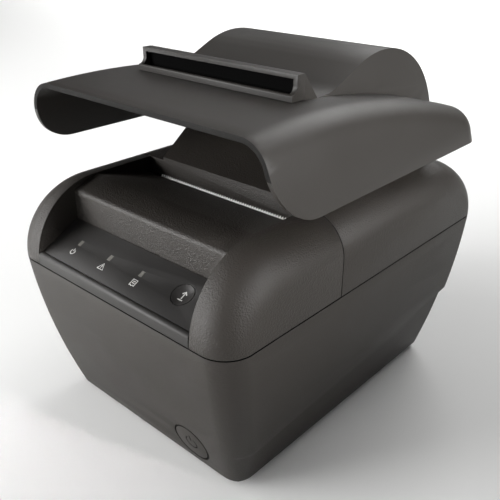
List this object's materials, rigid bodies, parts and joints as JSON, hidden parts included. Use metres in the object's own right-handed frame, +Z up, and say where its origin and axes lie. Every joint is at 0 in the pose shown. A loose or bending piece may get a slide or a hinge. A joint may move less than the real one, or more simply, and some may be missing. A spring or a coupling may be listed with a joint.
{
  "type": "receipt printer",
  "caption": "Desktop thermal receipt printer with arched top, lifting lid over the paper roll, sloped control panel, spill hood and clip rail for order slips.",
  "frame": {"origin": "on the floor under the middle of the bounding box", "axes": "+X to the right as seen from the front, +Y from the face to the back, +Z up"},
  "size_m": [0.159, 0.1966, 0.1772],
  "materials": {
    "case_shell": "fine spark-eroded grain",
    "top_shell": "fine spark-eroded grain",
    "lid_shell": "fine spark-eroded grain",
    "hood_shell": "fine grain, a little smoother",
    "rail_plastic": "satin",
    "panel_plastic": "very fine grain",
    "button_plastic": "satin, dished",
    "power_plastic": "fine grain with a moulded sign",
    "light_lens": "clear smoke lens, unlit",
    "foot_rubber": "matt",
    "blade_steel": "ground",
    "frame_steel": "zinc plated",
    "pin_steel": "turned",
    "screw_steel": "zinc plated",
    "roller_rubber": "ground, matt",
    "bush_plastic": "natural acetal",
    "gear_plastic": "natural acetal",
    "motor_can": "plated can",
    "head_metal": "milled heat sink",
    "bucket_plastic": "moulded",
    "board_laminate": "solder-masked laminate",
    "socket_plastic": "moulded",
    "socket_shell": "plated"
  },
  "bodies": {
    "case": {"lower_case": "case_shell", "rubber_feet": "foot_rubber", "front_cover": "top_shell", "control_panel": "panel_plastic", "power_light": "light_lens", "error_light": "light_lens", "paper_light": "light_lens", "panel_board": "board_laminate", "tear_bar": "blade_steel", "print_frame": "frame_steel", "frame_screws": "screw_steel", "head_pin": "pin_steel", "head_spring": "frame_steel", "idler_stud": "pin_steel", "feed_motor": "motor_can", "cutter_base": "frame_steel", "cutter_motor": "motor_can", "paper_bucket": "bucket_plastic", "main_board": "board_laminate", "board_screws": "screw_steel", "port_plate": "frame_steel", "power_inlet": "socket_plastic", "usb_socket": "socket_shell", "serial_socket": "socket_shell", "drawer_socket": "socket_plastic"},
    "lid": {"lid": "lid_shell", "hinge_pins": "pin_steel", "hood": "hood_shell", "ticket_rail": "rail_plastic", "platen_bracket": "frame_steel", "platen_bushes": "bush_plastic", "bracket_screws": "screw_steel", "fixed_blade": "blade_steel"},
    "platen": {"platen_shaft": "pin_steel", "platen_roller": "roller_rubber", "platen_gear": "gear_plastic"},
    "idler": {"idler_gear": "gear_plastic"},
    "motor_rotor": {"motor_pinion": "gear_plastic", "motor_shaft": "pin_steel"},
    "head": {"thermal_head": "head_metal"},
    "cutter": {"cutter_blade": "blade_steel"},
    "cutter_rotor": {"cutter_pinion": "gear_plastic", "cutter_shaft": "pin_steel"},
    "feed_key": {"feed_button": "button_plastic"},
    "power_key": {"power_button": "power_plastic"}
  },
  "joints": [
    {"name": "lid_hinge", "type": "hinge", "parent": "case", "child": "lid", "pos_m": [0, 0.094, 0.08715], "axis": [-1, 0, 0], "range_deg": [0, 65]},
    {"name": "platen_spin", "type": "hinge", "parent": "lid", "child": "platen", "pos_m": [0, -0.0211, 0.0985], "axis": [1, 0, 0], "continuous": true},
    {"name": "idler_spin", "type": "hinge", "parent": "case", "child": "idler", "pos_m": [0, -0.02298, 0.07939], "axis": [1, 0, 0], "continuous": true},
    {"name": "motor_spin", "type": "hinge", "parent": "case", "child": "motor_rotor", "pos_m": [0, -0.01287, 0.06598], "axis": [1, 0, 0], "continuous": true},
    {"name": "head_tilt", "type": "hinge", "parent": "case", "child": "head", "pos_m": [0, -0.03253, 0.084], "axis": [1, 0, 0], "range_deg": [0, 1], "stiffness_Nm_per_rad": 4},
    {"name": "cutter_slide", "type": "slide", "parent": "case", "child": "cutter", "axis": [0, 1, 0], "range_m": [0, 0.007]},
    {"name": "cutter_turn", "type": "hinge", "parent": "case", "child": "cutter_rotor", "pos_m": [0.0268, -0.0482, 0.104], "axis": [0, 0, 1], "range_deg": [-95, 5]},
    {"name": "feed_press", "type": "slide", "parent": "case", "child": "feed_key", "axis": [0, 0.4431, -0.8965], "range_m": [0, 0.0008], "stiffness_N_per_m": 600},
    {"name": "power_press", "type": "slide", "parent": "case", "child": "power_key", "axis": [0, 0.9659, 0.2588], "range_m": [0, 0.0012], "stiffness_N_per_m": 600}
  ],
  "couplings": [
    {"joint": "idler_spin", "follows": "platen_spin", "ratio": -0.6},
    {"joint": "motor_spin", "follows": "platen_spin", "ratio": 1.5},
    {"joint": "cutter_turn", "follows": "cutter_slide", "rad_per_m": -208.33}
  ]
}
